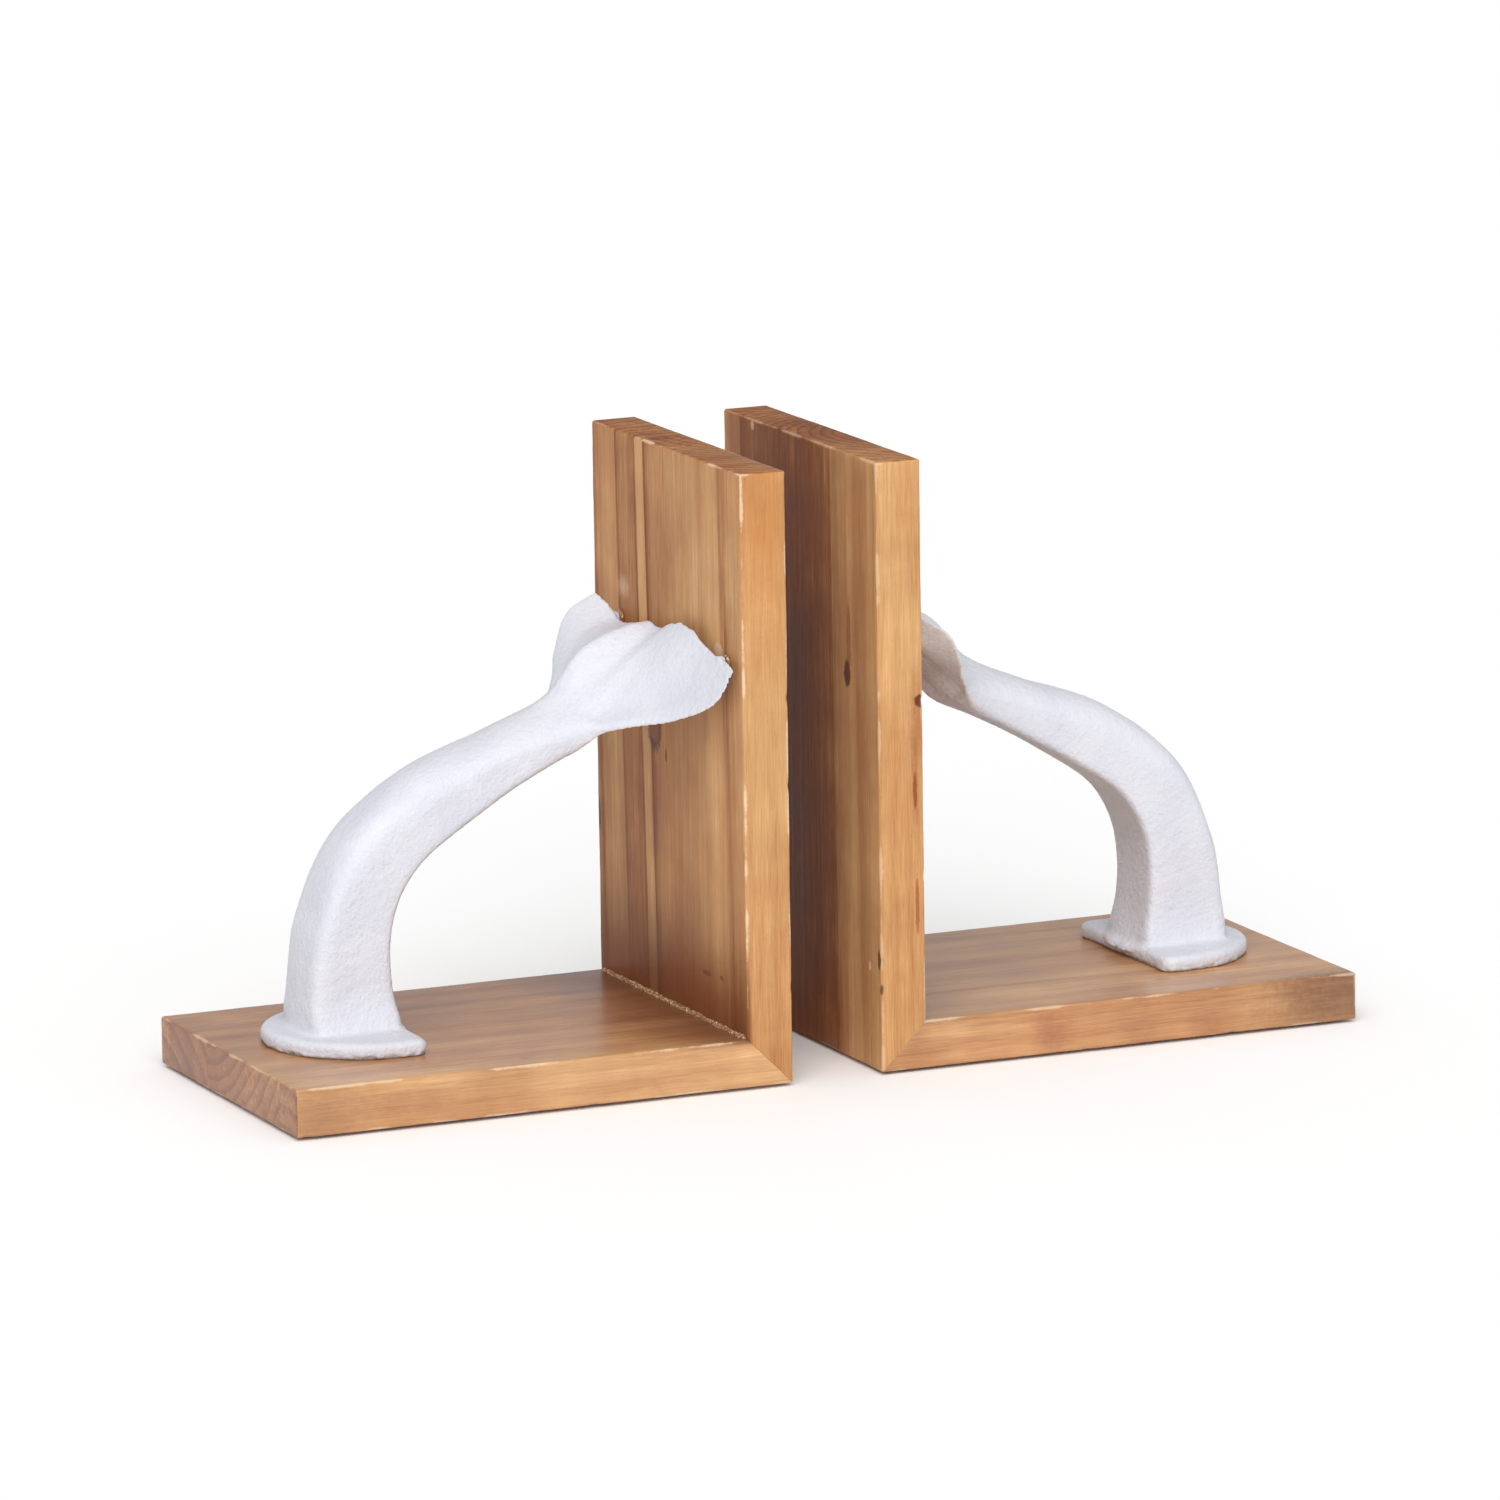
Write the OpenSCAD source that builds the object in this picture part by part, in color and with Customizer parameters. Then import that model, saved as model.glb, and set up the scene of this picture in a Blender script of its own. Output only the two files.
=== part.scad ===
/* [Boards] */
// Height of an upright, from the underside of the base to the top
board_h = 190; // [150:5:240]
// Depth of both boards, front to back
board_d = 115; // [100:5:130]
// Length of a base, from the book face outwards
base_l = 163; // [155:1:200]
// Thickness of every board
board_t = 15; // [12:0.5:20]
// Radius that the long edges and corners are eased to
arris_r = 1.2; // [0.5:0.1:3]
// Width of the front stave of the left book end
left_front_w = 14; // [10:1:25]
// Width of the back stave of the left book end
left_back_w = 40; // [10:1:45]
// Width of the front stave of the right book end
right_front_w = 33; // [10:1:40]
// Width of the back stave of the right book end
right_back_w = 14; // [10:1:40]

/* [Pair] */
// Space for books between the two uprights at rest
book_gap = 30; // [10:1:100]

/* [Tail casting] */
// Radius of the round outer end of the foot flange
flange_r = 32; // [28:0.5:36]
// Distance from the upright to the straight edge of the flange
flange_in = 94; // [90:1:98]
// Thickness of the foot flange
flange_t = 5; // [3:0.5:7]
// Half width of the stock above its foot
stock_half_w = 13.5; // [12:0.5:16]

/* [Fasteners] */
// Radius of the screw shanks that hold the tail
screw_r = 2.5; // [2:0.25:3]
// Radius of the mitre dowels
dowel_r = 2; // [1.5:0.25:2.5]
// Thickness of the felt pads
pad_t = 1; // [0.5:0.5:3]

/* [Hidden] */
SIDE_PARTS = ["upright_front_stave", "upright_middle_stave", "upright_back_stave",
    "base_front_stave", "base_middle_stave", "base_back_stave", "whale_tail", "foot_screws",
    "mitre_dowels", "corner_glue_bead", "fluke_glue_dabs", "felt_pads"];
$fn = 48;

// Everything below is drawn for the right book end, in its own frame: the book face is at
// x = 0, +x runs outwards along the base, and z = 0 is the underside of the base board.
half_d = board_d / 2;
inner_x = board_t;              // face of the upright that the tail leans on
big = 400;                      // reach of a cutting block, past every board
snug = 0.02;                    // radial clearance of a glued dowel
play = 0.25;                    // clearance around a screw in wood

// Places of the two foot screws and what they pass through
screw_x = inner_x + flange_in + 17;
screw_y = 8.5;
bore_r = screw_r + 0.05;
bore_deep = 10;
head_r = 4.6;
head_h = 3.4;
seat_z = 5;                     // depth of the counterbore under the base
socket_r = 2;
screw_in = 9;                   // how far a screw reaches into the casting

// Mitre dowels
dowel_half_l = 5;
dowel_room = 0.3;               // empty space past each end of a dowel

bead_r = 1.7;                   // size of the glue bead in the inner corner
bead_end = 3;                   // the bead stops this far short of the board's edges
pad_r = 6;
pad_inset = 14;

// Boss behind each fluke, the glue dab it sits on and their places
dab_r = 3;
dab_t = 1;
boss_r = 2.4;
BOSSES = [[46, 130.5, 2.6], [-36, 131, 5]];     // [y, z, length] on the low and the high side

WOOD = [0.78, 0.58, 0.38];
PAINT = [0.9, 0.9, 0.93];
STEEL = [0.62, 0.62, 0.64];
DOWEL = [0.87, 0.75, 0.55];
GLUE = [0.86, 0.74, 0.55];
FELT = [0.16, 0.13, 0.11];

// Stations of the tail from its foot to its trailing edge. Each is [crown x, crown z, belly x,
// belly z, squareness of the crown side, squareness of the belly side, edge thickness].
// Crown and belly are the outer and inner middle lines; x counts from the upright's inner face.
SPINE = [
    [126.5, 17.5, 93, 17.5, 5, 5, 12],
    [125.2, 30, 98, 31, 4.5, 5, 11.5],
    [121.8, 52.5, 97.5, 52, 2.5, 5, 10.5],
    [110.8, 77.6, 89.5, 68, 2, 5, 9],
    [88, 96.4, 73, 80, 1.9, 5, 8],
    [60.5, 107, 52.5, 92, 1.8, 4, 7],
    [41.5, 115.5, 38, 101, 1.6, 3, 5.5],
    [31, 126.5, 27.5, 109.5, 1.8, 2.3, 4],
    [21.5, 131.8, 19, 119.5, 2.2, 2.3, 3],
    [12.5, 134, 11, 128, 2.3, 2.3, 2.5],
    [5.3, 134.2, 4.7, 132.2, 2.3, 2.3, 1.8]];
// Side of the stock and then the leading edge of each fluke, at the same stations.
// Each is [x, distance from the middle, z], first for the low fluke and then for the high one.
EDGES = [
    [109.5, 16.5, 17.5, 109.5, 16.5, 17.5],
    [111, 13.5, 30.5, 111, 13.5, 30.5],
    [109.5, 13.5, 52.2, 109.5, 13.5, 52.2],
    [100, 13.5, 73, 100, 13.5, 73],
    [80.5, 13.5, 88.5, 80.5, 13.5, 88.5],
    [56.5, 13.5, 99.5, 56.5, 13.5, 99.5],
    [37.5, 15, 105.5, 38, 15.5, 107],
    [25, 25.5, 109.2, 28.5, 26, 114.5],
    [15, 39.5, 112.5, 22.5, 37.5, 121.5],
    [7, 52.5, 119.2, 15, 45, 132],
    [2.2, 57, 130.5, 5.5, 43.5, 138.2]];
// Trailing edge against a straight line from notch to tip, at every eighth of the span:
// [rise of the low fluke, rise of the high fluke, lean of the high fluke to the upright]
LOBES = [[0, 0, 0], [2.2, -0.6, 1], [4.4, -2, 1.4], [5.6, -3, 1.6], [5.3, -4.6, 1.8],
    [2.9, -5.6, 2.2], [1.6, -5.2, 2.4], [1, -1.8, 2], [0, 0, 0]];
RING = 32;                      // points round the tail
SPLIT = 4;                      // rings drawn for each station
LOBE_FROM = 7.5;                // the station from which the lobes grow

function clamp_i(i, n) = max(0, min(n - 1, i));
// Catmull-Rom curve through a list of vectors, u counted in stations
function curve(p, u) = let (i = min(floor(u), len(p) - 2), f = u - i,
    a = p[clamp_i(i - 1, len(p))], b = p[i], c = p[i + 1], d = p[clamp_i(i + 2, len(p))])
    0.5 * (2 * b + (c - a) * f + (2 * a - 5 * b + 4 * c - d) * f * f
        + (3 * b - a - 3 * c + d) * f * f * f);
function power(v, e) = sign(v) * pow(abs(v), e);
function fade(v) = let (k = max(0, min(1, v))) k * k * (3 - 2 * k);
// One point of the tail: u runs along it and a is the angle round its section. The high
// fluke is on the side of -y.
function tail_point(u, a) = let (
    s = curve(SPINE, u),
    square = sin(a) > 0 ? s[4] : s[5],
    v = power(cos(a), 2 / square),
    b = power(sin(a), 2 / square),
    share = abs(v),
    side = v < 0 ? 3 : 0,
    edges = curve(EDGES, u),
    edge = [edges[side], edges[side + 1], edges[side + 2]],
    thick = norm([s[0] - s[2], s[1] - s[3]]),
    n = [(s[0] - s[2]) / thick, (s[1] - s[3]) / thick],
    mid = [(s[0] + s[2]) / 2, (s[1] + s[3]) / 2],
    off = fade((share * edge[1] - 3) / stock_half_w) * fade((edge[1] - stock_half_w) / 8),
    half_t = (thick * (1 - off) + s[6] * off) / 2,
    tail_end = fade((u - LOBE_FROM) / (len(SPINE) - 1 - LOBE_FROM)),
    lobes = curve(LOBES, min(0.9999, share) * (len(LOBES) - 1)),
    rise = v < 0 ? lobes[1] : lobes[0],
    lean = v < 0 ? lobes[2] : 0,
    x = mid[0] * (1 - share) + edge[0] * share - lean * tail_end,
    z = mid[1] * (1 - share) + edge[2] * share + rise * tail_end)
    [inner_x + x + b * half_t * n[0], v * edge[1], z + b * half_t * n[1]];

module tail_body() {
    rings = (len(SPINE) - 1) * SPLIT + 1;
    points = [for (r = [0:rings - 1]) for (j = [0:RING - 1])
        tail_point(r / SPLIT, (j + 0.5) * 360 / RING)];
    sides = [for (r = [0:rings - 2]) for (j = [0:RING - 1]) for (k = [0, 1])
        let (a = r * RING + j, b = r * RING + (j + 1) % RING)
        k == 0 ? [a, b, b + RING] : [a, b + RING, a + RING]];
    half = RING / 2;
    caps = [for (e = [0, 1]) for (j = [0:half - 2])
        let (o = e * (rings - 1) * RING, q = [o + j, o + j + 1, o + RING - 2 - j, o + RING - 1 - j])
        e == 0 ? q : [q[3], q[2], q[1], q[0]]];
    polyhedron(points = points, faces = concat([for (f = sides) [f[2], f[1], f[0]]],
        [for (f = caps) [f[3], f[2], f[1], f[0]]]), convexity = 6);
}

module flange_outline() {
    corner_r = 4;
    centre_in = 8.8;            // from the straight edge to the centre of the round end
    x0 = inner_x + flange_in;
    centre_x = x0 + centre_in;
    translate([x0, -flange_r + corner_r]) square([centre_x - x0, 2 * (flange_r - corner_r)]);
    translate([x0 + corner_r, -flange_r]) square([centre_x - x0 - corner_r, 2 * flange_r]);
    for (y = [-1, 1]) translate([x0 + corner_r, y * (flange_r - corner_r)]) circle(corner_r);
    intersection() {
        translate([centre_x, 0]) circle(flange_r, $fn = 96);
        translate([centre_x - 1, -flange_r]) square([2 * flange_r, 2 * flange_r]);
    }
}

// A rectangle from [0, 0] to the given size with round corners
module eased(size, r) {
    translate([r, 0]) square([size[0] - 2 * r, size[1]]);
    translate([0, r]) square([size[0], size[1] - 2 * r]);
    for (x = [r, size[0] - r]) for (y = [r, size[1] - r]) translate([x, y]) circle(r);
}

// The whole upright and the whole base before the mitre, with eased edges
module board(length, height) {
    intersection() {
        translate([0, half_d, 0]) rotate([90, 0, 0]) linear_extrude(board_d)
            eased([length, height], arris_r);
        translate([0, -half_d, -1]) linear_extrude(height + 2) eased([length, board_d], arris_r);
        rotate([90, 0, 90]) translate([-half_d, 0, -1]) linear_extrude(length + 2)
            eased([board_d, height], arris_r);
    }
}

// The block on the base's side of the mitre plane, which runs from [0, 0] to [board_t, board_t]
module under_mitre() {
    rotate([0, -45, 0]) translate([0, -half_d - 1, -big]) cube([big, board_d + 2, big]);
}

function stave_y(front, back) = [-half_d, -half_d + front, half_d - back, half_d];

module between(ys, i) {
    translate([-1, ys[i], -1]) cube([big, ys[i + 1] - ys[i], big]);
}

// y of each dowel: one in the middle of each outer stave and two in the middle stave
function dowel_y(ys) = let (m = (ys[1] + ys[2]) / 2)
    [(ys[0] + ys[1]) / 2, m - 15, m + 15, (ys[2] + ys[3]) / 2];

module dowels(ys, r, half_l) {
    for (y = dowel_y(ys)) translate([board_t / 2, y, board_t / 2]) rotate([0, -45, 0])
        cylinder(r = r, h = 2 * half_l, center = true);
}

module upright_stave(ys, i) {
    color(WOOD) difference() {
        intersection() {
            board(board_t, board_h);
            between(ys, i);
        }
        under_mitre();
        dowels(ys, dowel_r + snug, dowel_half_l + dowel_room);
    }
}

module base_stave(ys, i) {
    color(WOOD) difference() {
        intersection() {
            board(base_l, board_t);
            between(ys, i);
            under_mitre();
        }
        dowels(ys, dowel_r + snug, dowel_half_l + dowel_room);
        for (y = [-screw_y, screw_y]) translate([screw_x, y, -1]) {
            cylinder(r = screw_r + play, h = board_t + 2);
            cylinder(r = head_r + play * 2, h = seat_z + 1);
        }
    }
}

module whale_tail() {
    color(PAINT) difference() {
        union() {
            tail_body();
            translate([0, 0, board_t]) linear_extrude(flange_t) flange_outline();
            for (p = BOSSES) translate([inner_x + dab_t, p[0], p[1]]) rotate([0, 90, 0])
                cylinder(r = boss_r, h = p[2]);
        }
        for (y = [-screw_y, screw_y]) translate([screw_x, y, board_t - 1])
            cylinder(r = bore_r, h = bore_deep + 1);
    }
}

module foot_screws() {
    color(STEEL) for (y = [-screw_y, screw_y]) translate([screw_x, y, seat_z]) difference() {
        union() {
            cylinder(r = screw_r, h = board_t - seat_z + screw_in);
            translate([0, 0, -head_h]) cylinder(r = head_r, h = head_h);
        }
        translate([0, 0, -head_h - 1]) cylinder(r = socket_r, h = 3, $fn = 6);
    }
}

module mitre_dowels(ys) {
    color(DOWEL) dowels(ys, dowel_r, dowel_half_l);
}

module corner_glue_bead() {
    color(GLUE) translate([inner_x, half_d - bead_end, board_t]) rotate([90, 0, 0])
        linear_extrude(board_d - 2 * bead_end) intersection() {
            circle(bead_r);
            square(bead_r + 1);
        }
}

module fluke_glue_dabs() {
    color(GLUE) for (p = BOSSES) translate([inner_x, p[0], p[1]]) rotate([0, 90, 0])
        cylinder(r = dab_r, h = dab_t);
}

module felt_pads() {
    color(FELT) for (x = [pad_inset, base_l - pad_inset])
        for (y = [-half_d + pad_inset, half_d - pad_inset])
            translate([x, y, -pad_t]) cylinder(r = pad_r, h = pad_t);
}

// Stands a right-hand piece on its pads at its side of the book gap
module stand(side) {
    mirror([side == "left" ? 1 : 0, 0, 0]) translate([book_gap / 2, 0, pad_t]) children();
}

// Both castings are the same pattern, so the left one is turned round and not mirrored
module turned(side) {
    mirror([0, side == "left" ? 1 : 0, 0]) children();
}

module side_part(side, part) {
    ys = side == "left" ? stave_y(left_front_w, left_back_w) : stave_y(right_front_w, right_back_w);
    stand(side) {
        if (part == "upright_front_stave") upright_stave(ys, 0);
        if (part == "upright_middle_stave") upright_stave(ys, 1);
        if (part == "upright_back_stave") upright_stave(ys, 2);
        if (part == "base_front_stave") base_stave(ys, 0);
        if (part == "base_middle_stave") base_stave(ys, 1);
        if (part == "base_back_stave") base_stave(ys, 2);
        if (part == "whale_tail") turned(side) whale_tail();
        if (part == "foot_screws") foot_screws();
        if (part == "mitre_dowels") mitre_dowels(ys);
        if (part == "corner_glue_bead") corner_glue_bead();
        if (part == "fluke_glue_dabs") turned(side) fluke_glue_dabs();
        if (part == "felt_pads") felt_pads();
    }
}

for (s = ["left", "right"]) for (p = SIDE_PARTS)
    side_part(s, p);
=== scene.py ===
"""A pair of stained pine book ends, each with an arched white whale tail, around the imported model."""

import math

import bmesh
import bpy
from mathutils import Matrix, Vector, noise


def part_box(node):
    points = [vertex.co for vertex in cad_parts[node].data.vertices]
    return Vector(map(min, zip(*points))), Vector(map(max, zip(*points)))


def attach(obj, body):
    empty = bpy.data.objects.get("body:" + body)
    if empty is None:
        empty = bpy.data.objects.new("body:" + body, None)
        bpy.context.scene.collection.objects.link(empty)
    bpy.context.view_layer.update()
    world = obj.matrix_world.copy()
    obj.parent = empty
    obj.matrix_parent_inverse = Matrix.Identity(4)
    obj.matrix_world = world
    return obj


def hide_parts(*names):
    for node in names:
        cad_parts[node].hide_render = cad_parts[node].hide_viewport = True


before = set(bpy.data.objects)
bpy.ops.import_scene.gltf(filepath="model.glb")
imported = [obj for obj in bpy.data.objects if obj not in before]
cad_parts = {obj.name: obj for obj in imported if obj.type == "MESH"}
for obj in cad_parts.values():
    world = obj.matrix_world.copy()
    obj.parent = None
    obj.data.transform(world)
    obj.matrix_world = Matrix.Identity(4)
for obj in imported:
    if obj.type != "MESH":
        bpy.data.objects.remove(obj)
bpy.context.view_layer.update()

MM = 0.001
SIDES = ("left", "right")


# -------------------- sizes, all in millimetres

def box_mm(node):
    """Lowest and highest corner of a CAD node, in millimetres."""
    low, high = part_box(node)
    return low / MM, high / MM


upright_low, upright_high = box_mm("right_upright_middle_stave")
_, base_high = box_mm("right_base_middle_stave")
front_low, _ = box_mm("right_base_front_stave")
pad_low, pad_high = box_mm("right_felt_pads")

half_gap = upright_low.x
pad_t = pad_high.z - pad_low.z
board_t = upright_high.x - upright_low.x
board_h = upright_high.z - pad_t
board_d = -2 * front_low.y
base_l = base_high.x - half_gap
half_d = board_d / 2
# where the staves of each book end meet
JOINTS = {side: [corner.y for corner in box_mm(f"{side}_base_middle_stave")] for side in SIDES}

ARRIS = 1.1            # radius of the eased edges
HAIRLINE = 0.1         # tiny chamfer where two staves or two boards meet
BIG = 400              # reach of a cutter, past every board
FLANGE_T = 5
FLANGE_R = 32
FLANGE_CORNER = 4
FLANGE_IN = 94         # from the upright to the straight edge of the flange
CENTRE_IN = 8.8        # from the straight edge to the centre of the round end
SCREW_IN = 17          # from the straight edge to the screws
SCREW_X = board_t + FLANGE_IN + SCREW_IN
SCREW_Y = 8.5
BORE_R = 2.55
BORE_DEEP = 10
BORE_SIDES = 40
SHANK_ROOM_R = 2.75    # clearance hole for a shank in the wood
SEAT_R = 5.1           # counterbore for a screw head
SEAT_Z = 5
DOWEL_R = 2.02
DOWEL_HALF = 5.3
DOWEL_ASIDE = 15       # from the centre of the middle stave to its two dowels
PAD_R = 6
WELD = 0.0001          # closer than this, two points are one
BOSSES = ((46, 130.5, 2.6), (-36, 131, 5))      # y, z and length of the boss behind each fluke
BOSS_R = 2.2
DAB_T = 1


# -------------------- small helpers

def as_object(bm, name):
    """The mesh as an object in the scene."""
    mesh = bpy.data.meshes.new(name)
    bm.to_mesh(mesh)
    bm.free()
    piece = bpy.data.objects.new(name, mesh)
    bpy.context.scene.collection.objects.link(piece)
    return piece


def discard(piece):
    mesh = piece.data
    bpy.data.objects.remove(piece)
    bpy.data.meshes.remove(mesh)


def finished(bm, name, side, turned=False):
    """Stands a piece drawn for the right book end on its pads, on its side of the gap, as an object."""
    sign = -1 if side == "left" else 1
    move = Matrix.Scale(MM, 4) @ Matrix.Translation((sign * half_gap, 0, pad_t))
    flip = Matrix.Diagonal((sign, sign if turned else 1, 1, 1))
    bmesh.ops.transform(bm, matrix=move @ flip, verts=bm.verts)
    if sign < 0 and not turned:
        bmesh.ops.reverse_faces(bm, faces=bm.faces)
    return as_object(bm, name)


def smooth_shaded(piece, angle=30):
    """Smooth shading, with edges sharper than the angle left crisp."""
    for face in piece.data.polygons:
        face.use_smooth = True
    bm = bmesh.new()
    bm.from_mesh(piece.data)
    for edge in bm.edges:
        edge.smooth = len(edge.link_faces) != 2 or edge.calc_face_angle(0) < math.radians(angle)
    bm.to_mesh(piece.data)
    bm.free()


def with_modifier(bm, kind, **settings):
    """The mesh after one modifier, as a new bmesh."""
    work = as_object(bm, "work")
    modifier = work.modifiers.new("work", kind)
    for key, value in settings.items():
        setattr(modifier, key, value)
    depsgraph = bpy.context.evaluated_depsgraph_get()
    result = bmesh.new()
    result.from_mesh(work.evaluated_get(depsgraph).to_mesh())
    work.evaluated_get(depsgraph).to_mesh_clear()
    discard(work)
    return result


def drilled(bm, cutters):
    """Cuts cylinders out of a mesh. Each cutter is a matrix, a radius and a length."""
    tools = bmesh.new()
    for matrix, radius, length in cutters:
        bmesh.ops.create_cone(tools, cap_ends=True, segments=BORE_SIDES, radius1=radius,
                              radius2=radius, depth=length, matrix=matrix)
    cutter = as_object(tools, "cutters")
    result = with_modifier(bm, "BOOLEAN", operation="DIFFERENCE", solver="EXACT", object=cutter)
    discard(cutter)
    return result


def fade(value):
    """A smooth rise from 0 to 1 while the value goes from 0 to 1."""
    k = max(0.0, min(1.0, value))
    return k * k * (3 - 2 * k)


def power(value, exponent):
    """A power that keeps the sign."""
    return math.copysign(abs(value) ** exponent, value)


def hump(value, centre, width):
    """1 at the centre, falling to nothing on both sides."""
    return math.exp(-((value - centre) / width) ** 2)


def unevenness(point, terms, seed):
    """A sum of smooth noises. Each term is an amount and how often it changes in a millimetre."""
    return sum(amount * noise.noise(point * often + seed) for amount, often in terms)


# -------------------- boards and their staves

# Where an arris of each board has lost a chip: (place along it, size), for the arris named by the
# two faces that meet there. Places count from the start of the grain.
CHIPS = {
    "left_upright": {("front", "inner"): ((150, 1.2), (131, 1.6), (72, 1.3), (48, 1.7), (18, 1.2)),
                     ("front", "book"): ((120, 1.5), (93, 1.2), (30, 1.1))},
    "right_upright": {("front", "book"): ((35, 1.7), (27, 1.4), (150, 1.0)),
                      ("front", "inner"): ((115, 1.5), (60, 1.0))},
    "left_base": {("front", "top"): ((52, 1.5), (31, 1.7), (22, 1.3), (120, 1.0)),
                  ("front", "under"): ((160, 1.4), (66, 1.0))},
    "right_base": {("front", "top"): ((90, 1.4), (140, 1.6), (152, 1.5)),
                   ("front", "under"): ((120, 1.3), (70, 1.0))},
}
GRAIN_STEP = 1.5       # spacing of the cuts along the grain that let the arrises wander
CROSS_STEP = 2.1
CUTS_FROM = 2.5        # from the end of a board to its first cut
CHIP_LENGTH = 1.4
CHIP_DEPTH = 0.6
WEAR = 0.85            # usual size of a worn arris, against its eased radius
WEAR_RANGE = (0.5, 1.9)
LONG_WANDER = 0.3
SHORT_WANDER = 0.16
WANDER_SCALE = 0.045
SHORT_OFTEN = 7        # the short wander changes this many times as fast


def arris_names(upright, low_z, front):
    """The two faces that meet at an arris that runs along the grain."""
    face = ("inner" if low_z else "book") if upright else ("under" if low_z else "top")
    return ("front" if front else "back", face)


def worn(bm, length, key, upright):
    """Makes every eased edge wander and chips it here and there."""
    planes = ((0, length), (-half_d, half_d), (0, board_t))
    chips = CHIPS[key]
    seed = Vector((11.3, 5.1, 2.7)) * (1 + len(key))
    for vert in bm.verts:
        near = []
        for axis, (low, high) in enumerate(planes):
            plane = low if abs(vert.co[axis] - low) < abs(vert.co[axis] - high) else high
            near.append((abs(vert.co[axis] - plane), plane))
        for along in range(3):
            pair = [axis for axis in range(3) if axis != along]
            if max(near[axis][0] for axis in pair) > ARRIS + 0.01:
                continue
            spot = Vector((near[pair[0]][1], near[pair[1]][1], vert.co[along])) * WANDER_SCALE + seed
            size = WEAR + LONG_WANDER * noise.noise(spot)
            size += SHORT_WANDER * noise.noise(spot * SHORT_OFTEN)
            if along == 0:
                names = arris_names(upright, near[2][1] == 0, near[1][1] < 0)
                for place, depth in chips.get(names, ()):
                    size += CHIP_DEPTH * depth * hump(vert.co.x, place, CHIP_LENGTH)
            size = max(WEAR_RANGE[0], min(WEAR_RANGE[1], size))
            for axis in pair:
                plane = near[axis][1]
                vert.co[axis] = plane + (vert.co[axis] - plane) * size


def eased_board(length, key, upright):
    """A board that lies along +X, with worn edges."""
    bm = bmesh.new()
    bmesh.ops.create_cube(bm, size=1)
    bmesh.ops.scale(bm, vec=(length, board_d, board_t), verts=bm.verts)
    bmesh.ops.translate(bm, vec=(length / 2, 0, board_t / 2), verts=bm.verts)
    bmesh.ops.bevel(bm, geom=bm.edges[:], offset=ARRIS, segments=3, profile=0.5, affect="EDGES",
                    material=-1)
    for axis, start, stop, step in ((0, 0, length, GRAIN_STEP), (1, -half_d, half_d, CROSS_STEP)):
        normal = Vector((0, 0, 0))
        normal[axis] = 1
        room = stop - start - 2 * CUTS_FROM
        count = int(room / step)
        for i in range(count + 1):
            place = start + CUTS_FROM + room * i / count
            bmesh.ops.bisect_plane(bm, geom=bm.verts[:] + bm.edges[:] + bm.faces[:], dist=WELD,
                                   plane_co=normal * place, plane_no=normal)
    worn(bm, length, key, upright)
    return bm


def kept_side(bm, point, normal):
    """Cuts away what lies on the normal's side of a plane and closes the cut."""
    cut = bmesh.ops.bisect_plane(bm, geom=bm.verts[:] + bm.edges[:] + bm.faces[:], dist=WELD,
                                 plane_co=point, plane_no=normal, clear_outer=True)
    edges = [e for e in cut["geom_cut"] if isinstance(e, bmesh.types.BMEdge)]
    faces = bmesh.ops.holes_fill(bm, edges=edges, sides=0)["faces"]
    rim = {e for f in faces for e in f.edges}
    bmesh.ops.bevel(bm, geom=list(rim), offset=HAIRLINE, segments=1, profile=0.5, affect="EDGES",
                    material=-1)


def stave(board, side, index, upright):
    """One stave of a board: cut to its width, mitred, and drilled for its dowels and screws."""
    bm = board.copy()
    edges = (-half_d, *JOINTS[side], half_d)
    if index > 0:
        kept_side(bm, (0, edges[index], 0), (0, -1, 0))
    if index < 2:
        kept_side(bm, (0, edges[index + 1], 0), (0, 1, 0))
    kept_side(bm, (0, 0, 0), (1, 0, -1) if upright else (-1, 0, 1))
    middle = (edges[1] + edges[2]) / 2
    places = ([(edges[0] + edges[1]) / 2], [middle - DOWEL_ASIDE, middle + DOWEL_ASIDE],
              [(edges[2] + edges[3]) / 2])
    slant = Matrix.Rotation(math.radians(-45), 4, "Y")
    cutters = [(Matrix.Translation((board_t / 2, y, board_t / 2)) @ slant, DOWEL_R, 2 * DOWEL_HALF)
               for y in places[index]]
    if not upright and index == 1:
        for y in (-SCREW_Y, SCREW_Y):
            cutters.append((Matrix.Translation((SCREW_X, y, 0)), SHANK_ROOM_R, BIG))
            cutters.append((Matrix.Translation((SCREW_X, y, 0)), SEAT_R, 2 * SEAT_Z))
    return drilled(bm, cutters)


# -------------------- the tail casting

# Stations of the tail from its foot to its trailing edge. Each is [crown x, crown z, belly x,
# belly z, squareness of the crown side, squareness of the belly side, edge thickness].
# Crown and belly are the outer and inner middle lines; x counts from the upright's inner face.
SPINE = (
    (126.5, 17.5, 93, 17.5, 9, 11, 12),
    (125.2, 30, 98, 31, 8, 11, 11.5),
    (121.8, 52.5, 97.5, 52, 5.5, 11, 10.5),
    (110.8, 77.6, 89.5, 68, 3.4, 11, 9),
    (88, 96.4, 73, 80, 2.3, 10, 8),
    (60.5, 107, 52.5, 92, 2, 7, 7),
    (41.5, 115.5, 38, 101, 1.9, 3.6, 5.5),
    (31, 126.5, 27.5, 109.5, 2.6, 3.4, 4),
    (21.5, 131.8, 19, 119.5, 3.3, 3.3, 3),
    (12.5, 134, 11, 128, 3.5, 3.5, 2.5),
    (5.3, 134.2, 4.7, 132.2, 3.5, 3.5, 1.9))
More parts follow.
